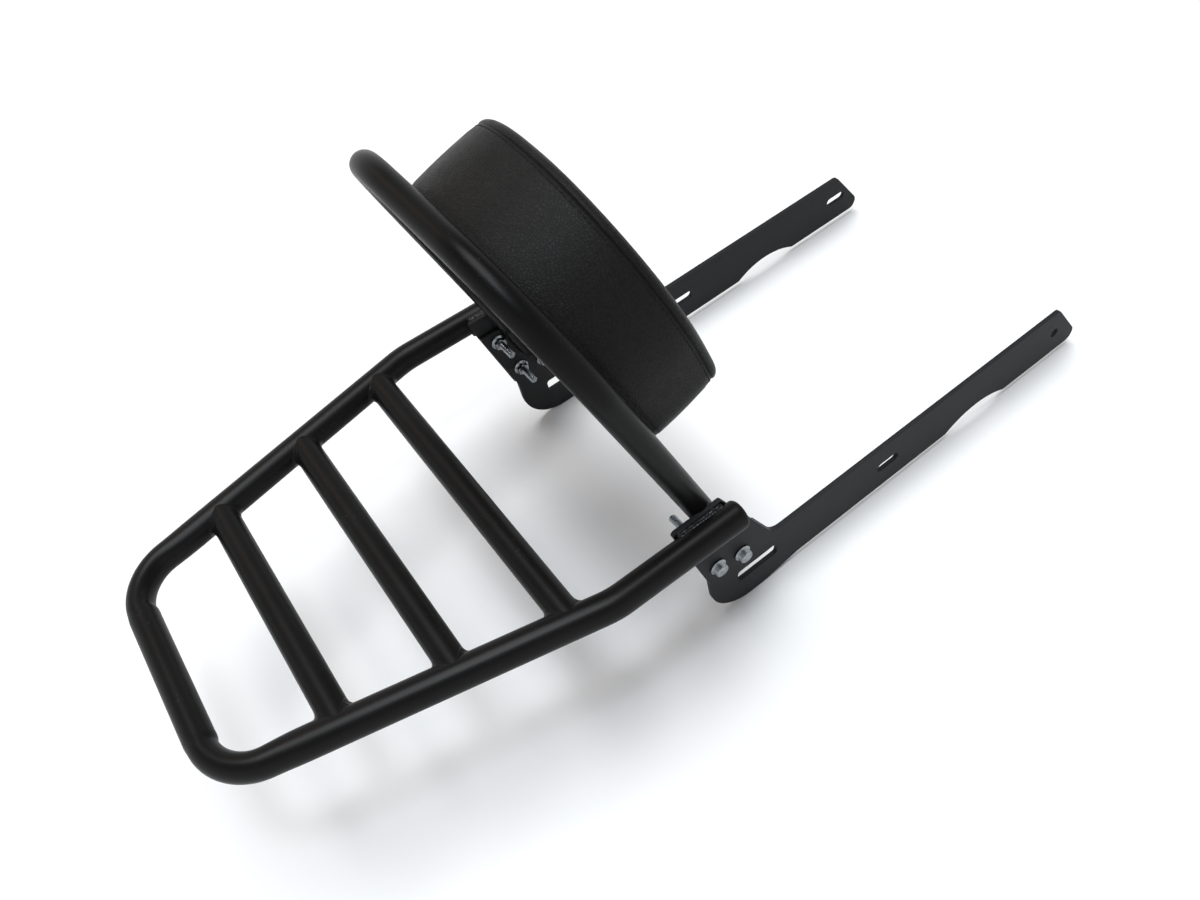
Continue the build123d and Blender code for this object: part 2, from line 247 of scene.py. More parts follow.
def leather_finish():
    material, tree, surface, place = finish("Black leatherette")
    group = add(tree, "ShaderNodeGroup", node_tree=LEATHER_GRAIN)
    tree.links.new(place, group.inputs["Vector"])
    surface.inputs["Specular IOR Level"].default_value = 0.08
    surface.inputs["Coat Weight"].default_value = 0.08
    surface.inputs["Coat Roughness"].default_value = 0.5
    group.inputs["Skin"].default_value = (0.0098, 0.0093, 0.0087, 1)
    group.inputs["Valley"].default_value = (0.0052, 0.0049, 0.0046, 1)
    tree.links.new(group.outputs["Color"], surface.inputs["Base Color"])
    tree.links.new(group.outputs["Roughness"], surface.inputs["Roughness"])
    bump(tree, group.outputs["Height"], surface, 0.45, 0.0008)
    return material


def cloth_finish(name, dark, light, scale, roughness):
    material, tree, surface, place = finish(name)
    fibre = add(tree, "ShaderNodeTexNoise", {"Vector": place}, {"Scale": scale, "Detail": 4.0})
    tree.links.new(two_tone(tree, fibre.outputs["Fac"], dark, light), surface.inputs["Base Color"])
    surface.inputs["Roughness"].default_value = roughness
    surface.inputs["Specular IOR Level"].default_value = 0.15
    bump(tree, fibre.outputs["Fac"], surface, 0.4, 0.0004)
    return material


def plywood_finish():
    material, tree, surface, place = finish("Plywood")
    stretched = add(tree, "ShaderNodeMapping", {"Vector": place}, {"Scale": (6.0, 60.0, 60.0)})
    grain = add(tree, "ShaderNodeTexNoise",
                {"Vector": stretched.outputs["Vector"]}, {"Scale": 6.0, "Detail": 6.0})
    tree.links.new(two_tone(tree, grain.outputs["Fac"], (0.3, 0.19, 0.1), (0.5, 0.36, 0.22)),
                   surface.inputs["Base Color"])
    surface.inputs["Roughness"].default_value = 0.65
    return material


# The tube's black base colour carries a slight warm tint, a painted reflection of warm surroundings on the
# bars.
TUBE_BLACK = coat_finish(
    "Satin black tube", (0.0058, 0.0054, 0.0051), (0.12, 0.12, 0.125), 0.36, 620.0, 0.0004, 0.23)
PLATE_BLACK = coat_finish(
    "Matt black plate", (0.0168, 0.0171, 0.0186), (0.16, 0.16, 0.16), 0.55, 900.0, 0.0003, 0.3)
# The hoop's coat is the tube's black with its base and dust colours painted darker, as painted shade on the
# hoop, and a weaker coat for a matter finish.
SHADED_HOOP_BLACK = coat_finish(
    "Matt black hoop with painted shade", (0.005, 0.0048, 0.0047), (0.1, 0.1, 0.105), 0.34, 620.0, 0.0004, 0.15)
WELD_BLACK = coat_finish(
    "Coated weld", (0.008, 0.0083, 0.009), (0.2, 0.21, 0.22), 0.3, 500.0, 0.0012, 0.5)
ZINC = zinc_finish()
LEATHER = leather_finish()
THREAD = cloth_finish("Sewing thread", (0.003, 0.003, 0.003), (0.012, 0.012, 0.0125), 2600.0, 0.7)
LINING = cloth_finish("Black lining cloth", (0.008, 0.008, 0.009), (0.03, 0.03, 0.032), 1800.0, 0.85)
FOAM = cloth_finish("Foam", (0.5, 0.46, 0.32), (0.68, 0.64, 0.48), 700.0, 0.9)
PLYWOOD = plywood_finish()


# Pieces

def piece(name, bm, material, angle=35.0):
    """Finished mesh in the part's frame, riding on the rack."""
    bmesh.ops.recalc_face_normals(bm, faces=bm.faces)
    mesh = bpy.data.meshes.new(name)
    bm.to_mesh(mesh)
    bm.free()
    mesh.shade_smooth()
    mesh.set_sharp_from_angle(angle=math.radians(angle))
    mesh.materials.append(material)
    obj = bpy.data.objects.new(name, mesh)
    bpy.context.scene.collection.objects.link(obj)
    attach(obj, "root")
    return obj


def station(at, along, out, high=1.0, wide=1.0):
    """Section frame at a point: its X is the outward side and its Z runs along the path."""
    along = along.normalized()
    out = (out - along * out.dot(along)).normalized()
    side = along.cross(out)
    turn = Matrix((out * high, side * wide, along)).transposed().to_4x4()
    return Matrix.Translation(at) @ turn


def grow(bm, edges):
    """Extrude a loop of edges, and give its new vertices and edges."""
    grown = bmesh.ops.extrude_edge_only(bm, edges=edges)["geom"]
    verts = [g for g in grown if isinstance(g, bmesh.types.BMVert)]
    fresh = set(verts)
    loop = [g for g in grown if isinstance(g, bmesh.types.BMEdge) and fresh.issuperset(g.verts)]
    return verts, loop


def round_edges(bm, edges, offset, segments, **more):
    bmesh.ops.bevel(bm, geom=edges, offset=offset, offset_type="OFFSET", affect="EDGES",
                    segments=segments, profile=0.5, material=-1, **more)


def carry(bm, stations, sides, closed=False):
    """Unit circle carried along the stations as a closed skin."""
    ring = bmesh.ops.create_circle(bm, segments=sides, radius=1.0, matrix=stations[0])["verts"]
    first = edges = list({e for v in ring for e in v.link_edges})
    for back, ahead in zip(stations, stations[1:]):
        verts, edges = grow(bm, edges)
        bmesh.ops.transform(bm, matrix=ahead @ back.inverted(), verts=verts)
    if closed:
        bmesh.ops.bridge_loops(bm, edges=first + edges)
    else:
        bmesh.ops.contextual_create(bm, geom=first)
        bmesh.ops.contextual_create(bm, geom=edges)


def bead(bm, points, outs, high, wide, closed=False, pitch=2.6, rough=0.07, seed=0.0):
    """Weld bead with ripples along a line of points."""
    count = len(points)
    stations, run = [], 0.0
    for i, (at, out) in enumerate(zip(points, outs)):
        ahead = points[(i + 1) % count] if closed or i + 1 < count else at
        behind = points[i - 1] if closed or i else at
        run += (at - behind).length if i else 0.0
        drift = noise.noise(at * 0.11 + Vector((seed,) * 3))
        ripple = math.sin(2 * math.pi * (run / pitch + 1.2 * drift)) * (0.6 + drift)
        wave = 1 + rough * ripple + rough * 1.5 * noise.noise(at * 0.35 + Vector((seed,) * 3))
        end = 1.0 if closed else min(1.0, 0.45 + 0.3 * min(i, count - 1 - i))
        stations.append(station(at, ahead - behind, out, high * wave * end, wide * wave * end))
    carry(bm, stations, 12, closed)


def finish_mm(bm, matrix=Matrix.Identity(4)):
    bmesh.ops.transform(bm, matrix=SMALL @ matrix, verts=bm.verts)


# Rack rail, with its tube pressed flat in the rear bends

def smooth(x):
    x = min(1.0, max(0.0, x))
    return x * x * (3 - 2 * x)


def rail_line():
    """Points of the bent rail, its direction at each, and where along it the rear bends begin and end."""
    right = [Vector((RAIL_X, RAIL_FRONT)), Vector((RAIL_X, BEND_Y)), Vector((REAR_HALF, REAR_Y))]
    corners = right + [Vector((-p.x, p.y)) for p in reversed(right)]
    radii = (SIDE_BEND, REAR_BEND, REAR_BEND, SIDE_BEND)
    line, bends, run, start = [], [], 0.0, corners[0]
    for i, radius in enumerate(radii, 1):
        come = (corners[i] - corners[i - 1]).normalized()
        go = (corners[i + 1] - corners[i]).normalized()
        turn = come.angle_signed(go)
        reach = radius * math.tan(abs(turn) / 2)
        length = (corners[i] - come * reach - start).length
        steps = max(2, int(length / 3.0))
        line += [(start + come * length * k / steps, come, run + length * k / steps) for k in range(steps)]
        run += length
        normal = Vector((-come.y, come.x)) * (-1 if turn > 0 else 1)
        centre = corners[i] - come * reach + normal * radius
        arc = radius * abs(turn)
        steps = max(6, int(arc / 2.0))
        for k in range(steps):
            spin = Matrix.Rotation(-turn * k / steps, 2)
            line.append((centre - spin @ normal * radius, spin @ come, run + arc * k / steps))
        bends.append((run, run + arc))
        run += arc
        start = corners[i] + go * reach
    come = (corners[-1] - start).normalized()
    length = (corners[-1] - start).length
    line += [(start + come * length * k / 30, come, run + length * k / 30) for k in range(31)]
    return line, bends[1], bends[2]


def rack_rail():
    line, first, second = rail_line()
    stations = []
    for at, way, run in line:
        pressed = max(smooth((run - first[0] + PRESS_LEAD) / PRESS_RAMP)
                      * smooth((first[1] + PRESS_OVER - run) / PRESS_STEP),
                      smooth((second[1] + PRESS_LEAD - run) / PRESS_RAMP)
                      * smooth((run - second[0] + PRESS_OVER) / PRESS_STEP))
        rear = (smooth((run - first[1] + PRESS_OVER) / PRESS_STEP)
                * smooth((second[0] + PRESS_OVER - run) / PRESS_STEP))
        width = 1 - (1 - BEND_FLAT) * pressed - (1 - RUN_FLAT) * rear
        outward = Vector((way.y, -way.x))
        if outward.dot(at - Vector((0, -400))) < 0:
            outward = -outward
        at = at + outward * RAIL_R * (1 - width) * (0.55 * pressed + 0.8 * rear)
        bulge = 1 + 0.3 * (1 - width)
        stations.append(station(at.to_3d(), way.to_3d(), outward.to_3d(),
                                RAIL_SKIN * width, RAIL_SKIN * bulge))
    bm = bmesh.new()
    carry(bm, stations, 56)
    finish_mm(bm, RACK)
    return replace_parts(piece("rack_rail_tube", bm, TUBE_BLACK), "rack_rail")


def rail_cap(side, name):
    """Cap welded on the front end of the rail, with a rounded rim."""
    bm = bmesh.new()
    place = Matrix.Translation((side * RAIL_X, RAIL_FRONT + CAP_LENGTH / 2, 0))
    forwards = Matrix.Rotation(math.radians(-90), 4, "X")
    bmesh.ops.create_cone(bm, cap_ends=True, segments=56, radius1=RAIL_SKIN, radius2=RAIL_SKIN,
                          depth=CAP_LENGTH, matrix=place @ forwards)
    rim = [e for e in bm.edges if all(v.co.y > RAIL_FRONT + CAP_LENGTH - 0.01 for v in e.verts)]
    round_edges(bm, rim, CAP_RIM, 8)
    finish_mm(bm, RACK)
    cap = piece("rail_cap_" + name + "_rounded", bm, TUBE_BLACK)
    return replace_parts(cap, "rail_cap_" + name)


# Backrest hoop, whose legs stay slim where they pass the brackets

def backrest_hoop():
    straight, top = HOOP_RISE - HOOP_BEND, LEG_X - HOOP_BEND
    half = [Vector((LEG_X, -LEG_DROP + (straight + LEG_DROP) * k / 52, 0)) for k in range(52)]
    half += [Vector((top + HOOP_BEND * math.cos(a), straight + HOOP_BEND * math.sin(a), 0))
             for a in (math.radians(d) for d in range(0, 90, 3))]
    half += [Vector((top * (1 - k / 8), HOOP_RISE, 0)) for k in range(9)]
    line = half + [Vector((-p.x, p.y, 0)) for p in reversed(half[:-1])]
    stations = []
    for i, at in enumerate(line):
        way = line[min(i + 1, len(line) - 1)] - line[max(i - 1, 0)]
        full = smooth((at.y - SLIM_END) / SLIM_RAMP)
        radius = HOOP_R + (HOOP_SKIN - HOOP_R) * full
        flat = 1 - 0.03 * (1 - full)
        moved = at + Vector((0, 0, HOOP_FORWARD * full))
        stations.append(station(moved, way, Vector((way.y, -way.x, 0)), radius * flat, radius))
    bm = bmesh.new()
    carry(bm, stations, 48)
    finish_mm(bm, HOOP)
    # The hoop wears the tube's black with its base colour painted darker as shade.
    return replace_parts(piece("backrest_hoop_tube", bm, SHADED_HOOP_BLACK), "backrest_hoop")


# Welds

def joint_spot(bar_y, angle, reach, share):
    """Point of the flared weld between crossbar and rail: share 0 is on the bar, 1 on the rail."""
    y, z = BAR_R * math.cos(angle), BAR_R * math.sin(angle)
    flare = abs(math.cos(angle)) ** 1.5
    hollow = math.sqrt(RAIL_R ** 2 - z ** 2) / math.cos(TAPER)

    def on_rail(offset):
        return REAR_HALF + (bar_y + offset - REAR_Y) * math.tan(TAPER) - hollow

    lip = 1 + 0.06 / BAR_R
    start = Vector((on_rail(y) - 0.8 - reach * flare, bar_y + y * lip, z * lip))
    corner = Vector((on_rail(y), bar_y + y, z * lip))
    far = y + math.copysign(reach * flare, y)
    end = Vector((on_rail(far) + 0.15, bar_y + far, z))
    swell = 1 - share
    spot = start * swell * swell + corner * 2 * swell * share + end * share * share
    crest = noise.noise(Vector((angle * 6.5, bar_y, 0))) * 0.35 * math.sin(math.pi * share)
    return spot + Vector((-0.6, math.cos(angle), math.sin(angle))) * crest


def crossbar_welds():
    for number, name in ((1, "rear"), (2, "middle"), (3, "front")):
        bar_y = REAR_Y + number * BAR_PITCH
        bm = bmesh.new()
        for side in (1, -1):
            reach = 6.5 + noise.noise(Vector((number * 3.7, side, 0))) * 1.5
            ring = bmesh.ops.create_circle(bm, segments=96, radius=1.0)["verts"]
            angles = {v: math.atan2(v.co.y, v.co.x) for v in ring}
            first = edges = list({e for v in ring for e in v.link_edges})
            for share in (0.0, 0.15, 0.3, 0.45, 0.6, 0.75, 0.88, 1.0, None):
                if share != 0.0:
                    verts, edges = grow(bm, edges)
                    behind = angles
                    angles = {v: next(behind[e.other_vert(v)] for e in v.link_edges
                                      if e.other_vert(v) in behind) for v in verts}
                for v, a in angles.items():
                    spot = joint_spot(bar_y, a, reach, 0.5 if share is None else share)
                    if share is None:
                        spot += Vector((1.5, -math.cos(a) * 3, -math.sin(a) * 3))
                    v.co = (side * spot.x, spot.y, spot.z)
            bmesh.ops.bridge_loops(bm, edges=first + edges)
        finish_mm(bm, RACK)
        piece("crossbar_" + name + "_welds", bm, TUBE_BLACK, 180)


def straight_bead(bm, start, end, out, high, wide, **options):
    count = max(6, int((end - start).length / 0.7))
    points = [start.lerp(end, k / count) for k in range(count + 1)]
    bead(bm, points, [out] * len(points), high, wide, **options)


def frame_welds():
    """Beads that join brackets to rail, and hoop legs and straps to what holds them."""
    for side, name in ((1, "right"), (-1, "left")):
        bm = bmesh.new()
        for up in (1, -1):
            out = Vector((-0.35 * side, 0, up))
            ends = [RACK @ Vector((side * RAIL_WELD_X, y, up * RAIL_WELD_Z))
                    for y in (BRACKET_REAR + 3, BRACKET_FRONT - 2)]
            for shift, pitch in ((-0.9, 2.3), (1.1, 2.9)):
                moved = [e + Vector((side * shift, 0, -0.25 * abs(shift) * up)) for e in ends]
                straight_bead(bm, *moved, out, 2.0, 2.5, pitch=pitch, rough=0.22, seed=side + up + shift)
        lean = Vector((0, -math.sin(LEAN), math.cos(LEAN)))
        foot = Vector((0, HOOP_Y, BRACKET_TOP))
        across = Vector((0, math.cos(LEAN), math.sin(LEAN)))
        for offset, low, high in ((6.0, -50.0, -1.0), (-6.0, -17.0, -1.0)):
            inside = Vector((side * (BRACKET_IN - 0.6), 0, 0))
            ends = [foot + lean * rise + across * offset + inside for rise in (low, high)]
            out = Vector((-side, 0, 0)) + across * (offset / 8)
            straight_bead(bm, *ends, out, 1.9, 2.4, rough=0.1, seed=side * offset)
        finish_mm(bm)
        piece("bracket_welds_" + name, bm, WELD_BLACK, 180)
    bm = bmesh.new()
    for rise in STRAP_RISE:
        for side in (1, -1):
            ends = [Vector((side * STRAP_WELD_X, rise + edge * (STRAP_HALF - 1), STRAP_BACK - 0.1))
                    for edge in (-1, 1)]
            straight_bead(bm, *ends, Vector((-0.4 * side, 0, -1)), 1.3, 2.2, seed=rise + side)
    finish_mm(bm, HOOP)
    piece("strap_welds", bm, TUBE_BLACK, 180)


# Plates with their edges eased

def eased_plate(node, material, ease=0.45):
    bm = bmesh.new()
    bm.from_mesh(nodes[node].data)
    bmesh.ops.remove_doubles(bm, verts=bm.verts, dist=1e-6)
    bmesh.ops.dissolve_limit(bm, angle_limit=math.radians(0.2), verts=bm.verts, edges=bm.edges)
    for v in bm.verts:
        if v.co.y > 200 * MM and abs(v.co.z) > 12 * MM:
            v.co.y += (TIP_UPPER if v.co.z > 0 else TIP_LOWER) * MM
    sharp = [e for e in bm.edges if len(e.link_faces) == 2 and e.calc_face_angle() > math.radians(50)]
    round_edges(bm, sharp, ease * MM, 2, clamp_overlap=True)
    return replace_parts(piece(node + "_eased", bm, material, 12), node)


# Bolts with rolled threads

def bolt_threads(side, name):
    bm = bmesh.new()
    bm.from_mesh(nodes["flange_bolts_" + name].data)
    bmesh.ops.remove_doubles(bm, verts=bm.verts, dist=1e-6)
    cut = Vector((side * (NUT_FACE + 3) * MM, 0, 0))
    bmesh.ops.bisect_plane(bm, geom=bm.verts[:] + bm.edges[:] + bm.faces[:], plane_co=cut,
                           plane_no=(-side, 0, 0), clear_outer=True)
    axis = Vector((-side, 0, 0))
    turns, steps = int(NUT_FACE + 3 - BOLT_END - 0.6), 24
    for y, z in BOLTS:
        start = Vector((side * (NUT_FACE + 3), y, z))
        profile = [(THREAD_ROOT, 0.0), (BOLT_R, 0.42), (BOLT_R, 0.55), (THREAD_ROOT, 1.0)]
        spots = [start + axis * along * THREAD_PITCH + Vector((0, 0, r)) for r, along in profile]
        verts = [bmesh.ops.create_vert(bm, co=spot * MM)["vert"][0] for spot in spots]
        edges = [bm.edges.new(pair) for pair in zip(verts, verts[1:])]
        bmesh.ops.spin(bm, geom=verts + edges, cent=start * MM, axis=axis,
                       dvec=axis * THREAD_PITCH / steps * MM, angle=2 * math.pi * turns, steps=steps * turns)
        core = (THREAD_ROOT + 0.02, THREAD_ROOT + 0.02, 0, turns + 0.4)
        point = (2.7, 2.3, turns + 0.1, turns + 0.9)
        for r1, r2, near, far in (core, point):
            middle = start + axis * (near + far) / 2
            turn = axis.to_track_quat("Z", "Y").to_matrix().to_4x4()
            bmesh.ops.create_cone(bm, cap_ends=True, segments=24, radius1=r1 * MM, radius2=r2 * MM,
                                  depth=(far - near) * MM, matrix=Matrix.Translation(middle * MM) @ turn)
    bmesh.ops.remove_doubles(bm, verts=bm.verts, dist=2e-6)
    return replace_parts(piece("flange_bolts_threaded_" + name, bm, ZINC, 30), "flange_bolts_" + name)


# Upholstered pad

def outline_normal(x, rise):
    """Outward direction of the pad's outline at a point on it."""
    radius = PAD_TOP_R if rise > PAD_TOP - PAD_TOP_R else PAD_FOOT_R
    centre_x = PAD_HALF - radius
    centre_rise = PAD_TOP - radius if rise > PAD_TOP - PAD_TOP_R else PAD_FOOT + radius
    dx = max(0.0, abs(x) - centre_x)
    dr = rise - centre_rise if (rise > PAD_TOP - PAD_TOP_R or rise < PAD_FOOT + PAD_FOOT_R) else 0.0
    if dx == 0.0 and dr == 0.0:
        return Vector((math.copysign(1, x), 0))
    return Vector((math.copysign(dx, x), dr)).normalized()


def fall(x, rise):
    """Square of the distance from the pad's middle, as a share of its half width."""
    return (x ** 2 + (rise - PAD_MIDDLE.y) ** 2) / PAD_HALF ** 2


def fullness(x):
    """The stuffing sits fuller towards the left side of the bike."""
    return FULL_MOST - FULL_RANGE * smooth((FULL_START - x) / FULL_RUN)


def seam_depth(x, rise):
    return PAD_SEAM - 8.4 * fall(x, rise) + fullness(x)


def front_depth(x, rise):
    return PAD_FRONT - 8.5 * fall(x, rise) + fullness(x)


def outline_walk(spacing):
    """Points at even steps round the pad's outline."""
    high, low = PAD_TOP - PAD_TOP_R, PAD_FOOT + PAD_FOOT_R
    across, along = PAD_HALF - PAD_TOP_R, PAD_HALF - PAD_FOOT_R
    fine = [Vector((0, PAD_FOOT))]
    fine += [Vector((along + PAD_FOOT_R * math.sin(a), low - PAD_FOOT_R * math.cos(a)))
             for a in (math.radians(d) for d in range(0, 91, 3))]
    fine += [Vector((across + PAD_TOP_R * math.cos(a), high + PAD_TOP_R * math.sin(a)))
             for a in (math.radians(d) for d in range(0, 91, 1))]
    fine += [Vector((-p.x, p.y)) for p in reversed(fine)]
    spots, left = [], 0.0
    for start, end in zip(fine, fine[1:]):
        length = (end - start).length
        while left < length:
            spots.append(start.lerp(end, left / length))
            left += spacing
        left -= length
    return spots


# Rings of the pad from the middle of its back to the middle of its front: kind and place
PAD_RINGS = [("lining", s) for s in (0.04, 0.12, 0.25, 0.4, 0.55, 0.7, 0.78, 0.8)]
PAD_RINGS += [("hem", s) for s in (0.805, 0.815, 0.83, 0.85, 0.875, 0.9, 0.925, 0.945, 0.96)]
PAD_RINGS += [("edge", e) for e in (
    (0.0, -1.5), (0.1, -0.8), (0.35, -0.3), (0.8, 0.0), (1.5, 0.15), (2.4, 0.2), (3.0, 0.05),
    (3.3, -0.4), (3.8, -1.0), (4.3, -0.4), (4.6, 0.05), (5.4, 0.2), (6.6, 0.3), (8.0, 0.4))]
PAD_RINGS += [("side", u / 32) for u in range(5, 29)]
PAD_RINGS += [("seam", e) for e in (
    (-5.6, 0.45), (-4.4, 0.35), (-3.4, 0.2), (-2.9, 0.0), (-2.5, -0.25), (-2.1, -0.05), (-1.6, 0.0),
    (-1.0, -0.15), (-0.6, -0.45), (-0.3, -0.8), (0.0, -1.0), (0.3, -0.7), (0.7, -0.2))]
PAD_RINGS += [("roll", a) for a in range(8, 91, 6)] + [("roll", 90)]
PAD_RINGS += [("front", s) for s in (
    0.92, 0.9, 0.87, 0.84, 0.81, 0.77, 0.73, 0.69, 0.64, 0.59, 0.53, 0.47,
    0.4, 0.33, 0.26, 0.19, 0.12, 0.06)]


def pad_place(x, rise, kind, value):
    """Where a point of a ring lies on the stuffed pad."""
    base = Vector((x, rise))
    out = outline_normal(x, rise)
    seam = seam_depth(x, rise)
    if kind == "lining":
        return PAD_MIDDLE + (base - PAD_MIDDLE) * value, PAD_BACK + 0.25
    if kind == "hem":
        spot = PAD_MIDDLE + (base - PAD_MIDDLE) * value
        round_pad = math.atan2(spot.y - PAD_MIDDLE.y, spot.x)
        pleat = 0.22 * math.sin(0.9 * round_pad * 40) * smooth((value - 0.8) / 0.06)
        lift = 0.35 * smooth((value - 0.8) / 0.02) * smooth((1 - value) / 0.06)
        return spot, PAD_BACK - lift + pleat * 0.5
    if kind == "edge":
        return base + out * value[1], PAD_BACK + value[0]
    if kind == "side":
        depth = PAD_BACK + (seam - PAD_BACK) * value
        return base + out * (0.4 + 1.0 * math.sin(math.pi * value)), depth
    if kind == "seam":
        return base + out * value[1], seam + value[0]
    if kind == "roll":
        a = math.radians(value)
        spot = base + out * (PAD_ROLL * (math.cos(a) - 1) + 0.5 * math.sin(2 * a))
        return spot, seam + 0.7 + (front_depth(spot.x, spot.y) - seam - 0.7) * math.sin(a)
    spot = PAD_MIDDLE + (base - out * PAD_ROLL - PAD_MIDDLE) * value / 0.94
    return spot, front_depth(spot.x, spot.y) + 0.8 * (1 - value)


def pad_form():
    """Closed skin of rings over the outline of the pad, with each point's ring kept."""
    bm = bmesh.new()
    ring = bm.verts.layers.int.new("ring")
    bmesh.ops.create_grid(bm, x_segments=1, y_segments=1, size=0.5)
    bmesh.ops.scale(bm, vec=(2 * PAD_HALF, PAD_TOP - PAD_FOOT, 1), verts=bm.verts)
    bmesh.ops.translate(bm, vec=(0, (PAD_TOP + PAD_FOOT) / 2, 0), verts=bm.verts)
    for up, radius, segments in ((1, PAD_TOP_R, 44), (-1, PAD_FOOT_R, 11)):
        for x in (-1, 1):
            corner = max(bm.verts, key=lambda v: v.co.x * x + v.co.y * 2 * up)
            bmesh.ops.bevel(bm, geom=[corner], offset=radius, offset_type="OFFSET", affect="VERTICES",
                            segments=segments, profile=0.5, material=-1)
    for edge in [e for e in bm.edges if e.calc_length() > 6]:
        bmesh.ops.subdivide_edges(bm, edges=[edge], cuts=int(edge.calc_length() / 4))
    face = bm.faces[:][0]
    for i in range(1, len(PAD_RINGS)):
        behind = face
        face = next(g for g in bmesh.ops.extrude_face_region(bm, geom=[behind])["geom"]
                    if isinstance(g, bmesh.types.BMFace))
        if i > 1 and behind.is_valid:
            bmesh.ops.delete(bm, geom=[behind], context="FACES_ONLY")
        for v in face.verts:
            v[ring] = i
    for v in bm.verts:
        spot, depth = pad_place(v.co.x, v.co.y, *PAD_RINGS[v[ring]])
        v.co = (spot.x, spot.y, depth)
    for f in bm.faces:
        f.material_index = int(all(PAD_RINGS[v[ring]][0] == "lining" for v in f.verts))
    return bm


def swell(pad):
    """Cloth simulation of the cover: only its sides and the inner part of its front are free to swell."""
    sewn = pad.vertex_groups.new(name="sewn")
    kinds = [PAD_RINGS[r.value] for r in pad.data.attributes["ring"].data]
    held = [i for i, (kind, value) in enumerate(kinds)
            if kind not in ("side", "front") or kind == "front" and value > 0.8]
    sewn.add(held, 1.0, "REPLACE")
    start = [v.co.copy() for v in pad.data.vertices]
    cloth = pad.modifiers.new("Stuffing", "CLOTH")
    cloth.settings.vertex_group_mass = "sewn"
    cloth.settings.effector_weights.gravity = 0.0
    cloth.settings.use_pressure = True
    cloth.settings.uniform_pressure_force = 1.5
    cloth.settings.tension_stiffness = cloth.settings.compression_stiffness = 40.0
    cloth.settings.bending_stiffness = 12.0
    cloth.settings.mass = 0.2
    cloth.point_cache.frame_end = 20
    scene = bpy.context.scene
    for number in range(1, 21):
        scene.frame_set(number)
    soft = pad.evaluated_get(bpy.context.evaluated_depsgraph_get()).data
    moved = [v.co - at for v, at in zip(soft.vertices, start)]
    pad.modifiers.remove(cloth)
    for v, at, move in zip(pad.data.vertices, start, moved):
        v.co = at + move * min(1.0, SWELL_MOST * MM / max(move.length, 1e-9))
    scene.frame_set(1)


def backrest_pad():
    bm = pad_form()
    finish_mm(bm, HOOP)
    pad = piece("backrest_pad", bm, LEATHER, 180)
    pad.data.materials.append(LINING)
    swell(pad)
    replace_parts(pad, "pad_cover", "pad_foam")
    return pad


def pad_stitches():
    """Rows of stitches along the front seam and the back hem."""
    bm = bmesh.new()
    front_row = (4.4, 0.12, lambda x, r: seam_depth(x, r) - 2.5)
    back_row = (5.0, 0.45, lambda x, r: PAD_BACK + 3.8)
    for spacing, sink, depth_of in (front_row, back_row):
        spots = outline_walk(spacing)
        for at, ahead in zip(spots, spots[1:] + spots[:1]):
            out = outline_normal(at.x, at.y)
            depth = depth_of(at.x, at.y)
            way = Vector((ahead.x - at.x, ahead.y - at.y, depth_of(ahead.x, ahead.y) - depth))
            spot = at - out * sink
            place = station(Vector((spot.x, spot.y, depth)), way, out.to_3d(), 0.42, 0.5)
            stretch = Matrix.Diagonal((1, 1, spacing * 0.36, 1))
            bmesh.ops.create_uvsphere(bm, u_segments=8, v_segments=6, radius=1.0, matrix=place @ stretch)
    finish_mm(bm, HOOP)
    piece("pad_stitches", bm, THREAD, 180)


def pad_staples():
    """Staples that hold the turned hem to the board."""
    bm = bmesh.new()
    for at in outline_walk(15.0):
        spot = PAD_MIDDLE + (at - PAD_MIDDLE) * 0.885
        if min(abs(spot.y - rise) for rise in STRAP_RISE) < STRAP_HALF + 4:
            continue
        out = outline_normal(at.x, at.y).to_3d()
        way = Vector((-out.y, out.x, 0))
        place = station(Vector((spot.x, spot.y, PAD_BACK - 0.5)), way, out)
        bmesh.ops.create_cube(bm, size=1.0, matrix=place @ Matrix.Diagonal((0.9, 0.6, 9.0, 1)))
    round_edges(bm, bm.edges[:], 0.18, 2)
    finish_mm(bm, HOOP)
    piece("pad_staples", bm, ZINC)


# Dressing of the nodes

for node, material in (
        ("crossbar_rear", TUBE_BLACK), ("crossbar_middle", TUBE_BLACK), ("crossbar_front", TUBE_BLACK),
        ("rail_cap_left", TUBE_BLACK), ("rail_cap_right", TUBE_BLACK), ("rack_rail", TUBE_BLACK),
        ("backrest_hoop", SHADED_HOOP_BLACK), ("pad_strap_lower", TUBE_BLACK), ("pad_strap_upper", TUBE_BLACK),
        ("bracket_left", PLATE_BLACK), ("bracket_right", PLATE_BLACK), ("arm_left", PLATE_BLACK),
        ("arm_right", PLATE_BLACK), ("flange_bolts_left", ZINC), ("flange_bolts_right", ZINC),
        ("flange_nuts_left", ZINC), ("flange_nuts_right", ZINC), ("pad_screws", ZINC),
        ("pad_tee_nuts", ZINC), ("pad_cover", LEATHER), ("pad_foam", FOAM), ("pad_board", PLYWOOD)):
    nodes[node].data.materials.clear()
    nodes[node].data.materials.append(material)

rack_rail()
rail_cap(1, "right")
rail_cap(-1, "left")
backrest_hoop()
crossbar_welds()
frame_welds()
for plate_node in ("arm_left", "arm_right", "bracket_left", "bracket_right"):
    eased_plate(plate_node, PLATE_BLACK)
for strap_node in ("pad_strap_lower", "pad_strap_upper"):
    eased_plate(strap_node, TUBE_BLACK)
bolt_threads(1, "right")
bolt_threads(-1, "left")
backrest_pad()
pad_stitches()
pad_staples()


# Studio

def softbox(name, at, towards, size, watts, colour):
    lamp = bpy.data.lights.new(name, "AREA")
    lamp.shape, lamp.size, lamp.energy, lamp.color = "DISK", size, watts, colour
    place_lamp(lamp, at, towards)


def place_lamp(lamp, at, towards):
    obj = bpy.data.objects.new(lamp.name, lamp)
    obj.location = at
    obj.rotation_euler = (Vector(towards) - Vector(at)).to_track_quat("-Z", "Y").to_euler()
    bpy.context.scene.collection.objects.link(obj)


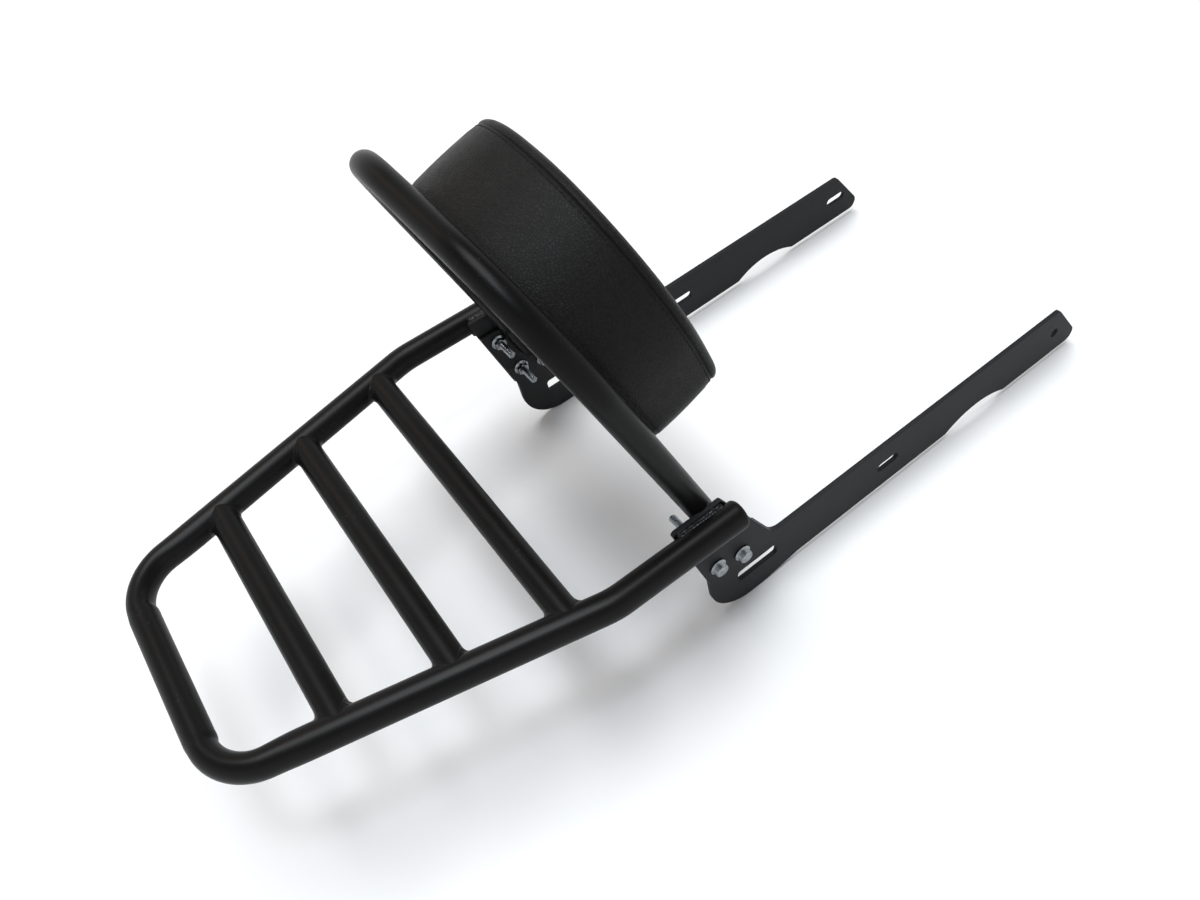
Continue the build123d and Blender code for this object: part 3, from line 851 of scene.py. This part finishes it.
def studio():
    bm = bmesh.new()
    bmesh.ops.create_grid(bm, x_segments=1, y_segments=1, size=4.0,
                          matrix=Matrix.Translation((0, -0.15, cad_low.z - 0.0005)))
    mesh = bpy.data.meshes.new("floor")
    bm.to_mesh(mesh)
    bm.free()
    floor = bpy.data.objects.new("floor", mesh)
    bpy.context.scene.collection.objects.link(floor)
    paper, _, surface, _ = finish("White paper")
    surface.inputs["Base Color"].default_value = (0.92, 0.92, 0.92, 1)
    surface.inputs["Roughness"].default_value = 0.9
    mesh.materials.append(paper)
    world = bpy.data.worlds.new("Studio")
    bpy.context.scene.world = world
    world.use_nodes = True
    tree = world.node_tree
    path = tree.nodes.new("ShaderNodeLightPath")
    seen = maths(tree, "MAXIMUM", path.outputs["Is Camera Ray"],
                 maths(tree, "MAXIMUM", path.outputs["Is Glossy Ray"], path.outputs["Is Transmission Ray"]))
    dim = tree.nodes["Background"]
    dim.inputs["Color"].default_value = (0.97, 0.98, 1.0, 1)
    dim.inputs["Strength"].default_value = 0.34
    way = tree.nodes.new("ShaderNodeTexCoord")
    height = add(tree, "ShaderNodeSeparateXYZ", {0: way.outputs["Generated"]})
    room = two_tone(tree, ramp(tree, height.outputs["Z"], 0.2, 0.75), (1.0, 1.0, 1.0), (0.14, 0.15, 0.17))
    white = add(tree, "ShaderNodeBackground", {"Color": room}, {"Strength": 1.0})
    mix = add(tree, "ShaderNodeMixShader", {0: seen, 1: dim.outputs[0], 2: white.outputs[0]})
    tree.links.new(mix.outputs[0], tree.nodes["World Output"].inputs["Surface"])
    middle = (0.0, -0.15, 0.1)
    sun = bpy.data.lights.new("key", "SUN")
    sun.energy, sun.angle, sun.color = 2.5, math.radians(38), (0.97, 0.985, 1.0)
    place_lamp(sun, (-0.45, 0.0, 3.1), middle)
    softbox("warm_wall", (-2.2, -0.8, 1.9), middle, 1.2, 3.5, (1.0, 0.66, 0.42))
    softbox("overhead", (0.38, -0.4, 1.7), (0.1, -0.4, 0.1), 0.3, 5.0, (0.8, 0.91, 1.0))


def camera():
    lens = bpy.data.cameras.new("camera")
    lens.sensor_width, lens.lens = 36.0, 31.154
    lens.shift_x, lens.shift_y = -0.0247, -0.0717
    lens.clip_start = 0.05
    obj = bpy.data.objects.new("camera", lens)
    right = Vector((0.588578, 0.792385, -0.160318))
    up = Vector((-0.531277, 0.528582, 0.662077))
    turn = Matrix((right, up, right.cross(up))).transposed().to_4x4()
    obj.matrix_world = Matrix.Translation((0.4956, -0.3895, 0.7201)) @ turn
    bpy.context.scene.collection.objects.link(obj)
    bpy.context.scene.camera = obj


studio()
camera()
bpy.context.scene.view_settings.view_transform = "Standard"
